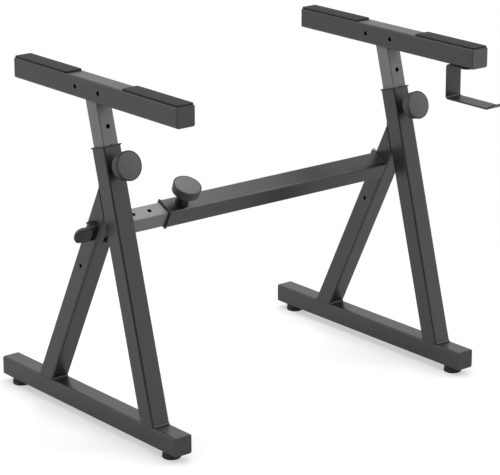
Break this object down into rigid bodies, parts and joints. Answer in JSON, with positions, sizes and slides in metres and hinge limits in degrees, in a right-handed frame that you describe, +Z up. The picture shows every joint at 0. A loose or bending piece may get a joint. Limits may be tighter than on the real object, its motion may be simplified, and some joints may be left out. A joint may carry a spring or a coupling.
{
  "type": "folding keyboard stand",
  "caption": "Folding stand for a keyboard: two A-shaped steel side frames latched to a telescoping crossbar, height-adjustable padded arms with pull knobs, and a hanger under one arm",
  "frame": {"origin": "on the floor, under the middle of the stand's overall width and depth", "axes": "+X towards the player's right, where the hanger is; +Y away from the player; +Z up"},
  "size_m": [0.8444, 0.6502, 0.6855],
  "materials": {
    "frame_paint": "satin",
    "slide_paint": "satin",
    "black_plastic": "matt",
    "lever_plastic": "satin",
    "knob_plastic": "satin",
    "rubber": "matt",
    "steel": "satin",
    "hanger_paint": "satin"
  },
  "bodies": {
    "crossbar": {"crossbar_outer_tube": "frame_paint", "crossbar_collar": "black_plastic", "crossbar_lock_barrel": "black_plastic", "crossbar_lock_spring": "steel", "right_bar_bracket": "frame_paint", "right_hinge_pin": "steel"},
    "left_bar": {"crossbar_inner_tube": "slide_paint", "crossbar_glide": "black_plastic", "left_bar_bracket": "frame_paint", "left_hinge_pin": "steel"},
    "crossbar_knob": {"crossbar_lock_pin": "steel", "crossbar_lock_knob": "knob_plastic"},
    "left_frame": {"left_base_tube": "frame_paint", "left_rear_leg": "frame_paint", "left_upright": "frame_paint", "left_frame_welds": "frame_paint", "left_base_end_caps": "black_plastic", "left_feet": "rubber", "left_foot_screws": "steel", "left_upright_collar": "black_plastic", "left_hinge_leaf": "frame_paint", "left_latch_housing": "black_plastic", "left_lever_pin": "steel", "left_latch_spring": "steel", "left_lock_barrel": "black_plastic", "left_lock_spring": "steel"},
    "right_frame": {"right_base_tube": "frame_paint", "right_rear_leg": "frame_paint", "right_upright": "frame_paint", "right_frame_welds": "frame_paint", "right_base_end_caps": "black_plastic", "right_feet": "rubber", "right_foot_screws": "steel", "right_upright_collar": "black_plastic", "right_hinge_leaf": "frame_paint", "right_latch_housing": "black_plastic", "right_lever_pin": "steel", "right_latch_spring": "steel", "right_lock_barrel": "black_plastic", "right_lock_spring": "steel"},
    "left_arm": {"left_height_tube": "slide_paint", "left_arm": "frame_paint", "left_arm_weld": "frame_paint", "left_arm_end_caps": "black_plastic", "left_arm_pads": "rubber"},
    "right_arm": {"right_height_tube": "slide_paint", "right_arm": "frame_paint", "right_arm_weld": "frame_paint", "right_arm_end_caps": "black_plastic", "right_arm_pads": "rubber", "hanger_bolt": "steel"},
    "left_knob": {"left_lock_pin": "steel", "left_lock_knob": "knob_plastic"},
    "right_knob": {"right_lock_pin": "steel", "right_lock_knob": "knob_plastic"},
    "left_lever": {"left_latch_lever": "lever_plastic"},
    "right_lever": {"right_latch_lever": "lever_plastic"},
    "left_latch": {"left_latch_pin": "steel"},
    "right_latch": {"right_latch_pin": "steel"},
    "hanger": {"hanger_bracket": "hanger_paint"}
  },
  "joints": [
    {"name": "crossbar_width", "type": "slide", "parent": "crossbar", "child": "left_bar", "axis": [-1, 0, 0], "range_m": [-0.114, 0.152]},
    {"name": "crossbar_lock_pull", "type": "slide", "parent": "crossbar", "child": "crossbar_knob", "axis": [0, -0.4493, 0.8934], "range_m": [0, 0.008], "stiffness_N_per_m": 1000, "springref_m": -0.008, "deforming": ["crossbar_lock_spring"]},
    {"name": "left_frame_fold", "type": "hinge", "parent": "left_bar", "child": "left_frame", "pos_m": [-0.34, -0.02566, 0.38122], "axis": [0, -0.4493, 0.8934], "range_deg": [0, 90]},
    {"name": "left_arm_height", "type": "slide", "parent": "left_frame", "child": "left_arm", "axis": [0, 0.2622, 0.965], "range_m": [-0.076, 0.19]},
    {"name": "left_lock_pull", "type": "slide", "parent": "left_frame", "child": "left_knob", "axis": [0, -0.965, 0.2622], "range_m": [0, 0.008], "stiffness_N_per_m": 1000, "springref_m": -0.008, "deforming": ["left_lock_spring"]},
    {"name": "left_latch_lever_swing", "type": "hinge", "parent": "left_frame", "child": "left_lever", "pos_m": [-0.3875, -0.00601, 0.3911], "axis": [0, -0.4493, 0.8934], "range_deg": [0, 35]},
    {"name": "left_latch_pin_draw", "type": "slide", "parent": "left_frame", "child": "left_latch", "axis": [-1, 0, 0], "range_m": [0, 0.00488], "stiffness_N_per_m": 1250, "springref_m": -0.004, "deforming": ["left_latch_spring"]},
    {"name": "right_frame_fold", "type": "hinge", "parent": "crossbar", "child": "right_frame", "pos_m": [0.34, 0.02329, 0.40584], "axis": [0, -0.4493, 0.8934], "range_deg": [0, 90]},
    {"name": "right_arm_height", "type": "slide", "parent": "right_frame", "child": "right_arm", "axis": [0, 0.2622, 0.965], "range_m": [-0.076, 0.19]},
    {"name": "right_lock_pull", "type": "slide", "parent": "right_frame", "child": "right_knob", "axis": [0, -0.965, 0.2622], "range_m": [0, 0.008], "stiffness_N_per_m": 1000, "springref_m": -0.008, "deforming": ["right_lock_spring"]},
    {"name": "right_latch_lever_swing", "type": "hinge", "parent": "right_frame", "child": "right_lever", "pos_m": [0.3875, -0.00601, 0.3911], "axis": [0, 0.4493, -0.8934], "range_deg": [0, 35]},
    {"name": "right_latch_pin_draw", "type": "slide", "parent": "right_frame", "child": "right_latch", "axis": [1, 0, 0], "range_m": [0, 0.00488], "stiffness_N_per_m": 1250, "springref_m": -0.004, "deforming": ["right_latch_spring"]},
    {"name": "hanger_swivel", "type": "hinge", "parent": "right_arm", "child": "hanger", "pos_m": [0.36, -0.22289, 0.6425], "axis": [0, 0, 1], "range_deg": [-90, 90]}
  ],
  "couplings": [
    {"joint": "left_latch_lever_swing", "follows": "left_latch_pin_draw", "rad_per_m": 125},
    {"joint": "right_latch_lever_swing", "follows": "right_latch_pin_draw", "rad_per_m": 125}
  ]
}
